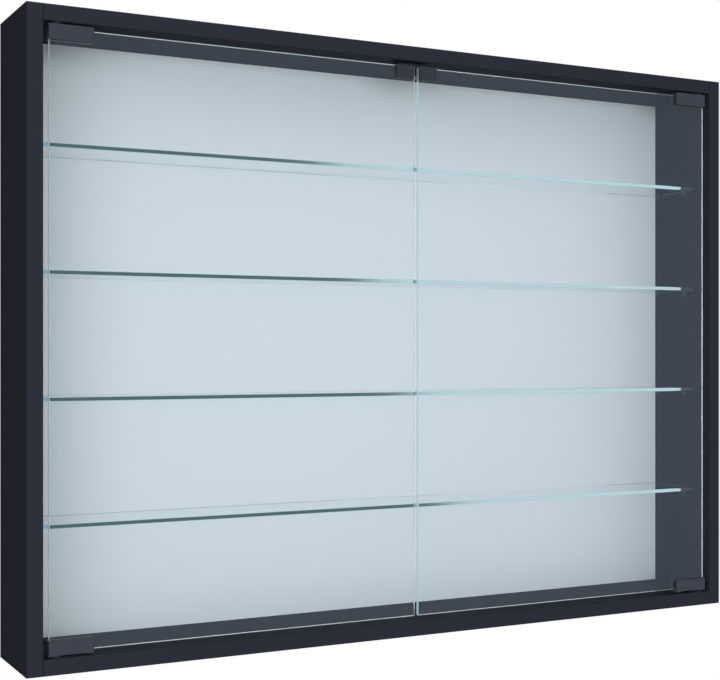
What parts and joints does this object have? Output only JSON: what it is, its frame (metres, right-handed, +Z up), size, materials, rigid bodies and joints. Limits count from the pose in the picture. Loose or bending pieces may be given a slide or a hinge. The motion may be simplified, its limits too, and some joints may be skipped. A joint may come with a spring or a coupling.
{
  "type": "wall mounted showcase",
  "caption": "Shallow wall-hung display cabinet of anthracite board with frameless glass doors on pivot clamps, glass shelves and a white back.",
  "frame": {"origin": "centre of the rear face, which lies on the wall", "axes": "+X to the right seen from the front, +Y towards the wall, +Z up"},
  "size_m": [0.8, 0.1, 0.6],
  "materials": {
    "anthracite_board": "melamine-faced board, very fine matt grain",
    "white_back_board": "white lacquered hardboard, satin",
    "nail_steel": "bright",
    "dowel_beech": "plain fluted beech",
    "fitting_zinc": "die-cast, bare",
    "shelf_glass": "clear float glass, polished edges",
    "door_glass": "clear float glass, polished edges",
    "clear_plastic": "clear moulded",
    "bush_nylon": "moulded nylon",
    "hinge_coating": "anthracite powder coat, satin",
    "clear_pad": "translucent soft pad",
    "plate_steel": "zinc plated",
    "screw_steel": "zinc plated",
    "pin_steel": "ground",
    "clip_coating": "anthracite powder coat, satin",
    "latch_plastic": "moulded, fine texture",
    "plunger_plastic": "moulded",
    "magnet_nickel": "nickel plated",
    "spring_steel": "drawn wire",
    "hanger_steel": "zinc plated sheet"
  },
  "bodies": {
    "cabinet": {"back_panel": "white_back_board", "back_panel_nails": "nail_steel", "bottom_panel": "anthracite_board", "cam_bolts": "fitting_zinc", "cam_locks": "fitting_zinc", "glass_shelf_1": "shelf_glass", "glass_shelf_2": "shelf_glass", "glass_shelf_3": "shelf_glass", "glass_shelf_4": "shelf_glass", "hanger_screws": "screw_steel", "latch_housing": "latch_plastic", "latch_screws": "screw_steel", "left_bottom_hinge_bush": "bush_nylon", "left_hanger": "hanger_steel", "left_latch_spring": "spring_steel", "left_side_panel": "anthracite_board", "left_top_hinge_bush": "bush_nylon", "right_bottom_hinge_bush": "bush_nylon", "right_hanger": "hanger_steel", "right_latch_spring": "spring_steel", "right_side_panel": "anthracite_board", "right_top_hinge_bush": "bush_nylon", "shelf_1_supports": "clear_plastic", "shelf_2_supports": "clear_plastic", "shelf_3_supports": "clear_plastic", "shelf_4_supports": "clear_plastic", "top_panel": "anthracite_board", "wood_dowels": "dowel_beech"},
    "left_door": {"left_bottom_hinge_clamp": "hinge_coating", "left_bottom_hinge_pad": "clear_pad", "left_bottom_hinge_pin": "pin_steel", "left_bottom_hinge_pressure_plate": "plate_steel", "left_bottom_hinge_screws": "screw_steel", "left_door_glass": "door_glass", "left_strike_clip": "clip_coating", "left_top_hinge_clamp": "hinge_coating", "left_top_hinge_pad": "clear_pad", "left_top_hinge_pin": "pin_steel", "left_top_hinge_pressure_plate": "plate_steel", "left_top_hinge_screws": "screw_steel"},
    "right_door": {"right_bottom_hinge_clamp": "hinge_coating", "right_bottom_hinge_pad": "clear_pad", "right_bottom_hinge_pin": "pin_steel", "right_bottom_hinge_pressure_plate": "plate_steel", "right_bottom_hinge_screws": "screw_steel", "right_door_glass": "door_glass", "right_strike_clip": "clip_coating", "right_top_hinge_clamp": "hinge_coating", "right_top_hinge_pad": "clear_pad", "right_top_hinge_pin": "pin_steel", "right_top_hinge_pressure_plate": "plate_steel", "right_top_hinge_screws": "screw_steel"},
    "left_plunger": {"left_latch_magnet": "magnet_nickel", "left_latch_plunger": "plunger_plastic"},
    "right_plunger": {"right_latch_magnet": "magnet_nickel", "right_latch_plunger": "plunger_plastic"}
  },
  "joints": [
    {"name": "left_door_hinge", "type": "hinge", "parent": "cabinet", "child": "left_door", "pos_m": [-0.372, -0.093, 0], "axis": [0, 0, -1], "range_deg": [0, 120]},
    {"name": "right_door_hinge", "type": "hinge", "parent": "cabinet", "child": "right_door", "pos_m": [0.372, -0.093, 0], "axis": [0, 0, 1], "range_deg": [0, 120]},
    {"name": "left_plunger_slide", "type": "slide", "parent": "cabinet", "child": "left_plunger", "axis": [0, 1, 0], "range_m": [0, 0.0025], "stiffness_N_per_m": 200, "springref_m": -0.004, "deforming": ["left_latch_spring"]},
    {"name": "right_plunger_slide", "type": "slide", "parent": "cabinet", "child": "right_plunger", "axis": [0, 1, 0], "range_m": [0, 0.0025], "stiffness_N_per_m": 200, "springref_m": -0.004, "deforming": ["right_latch_spring"]}
  ]
}
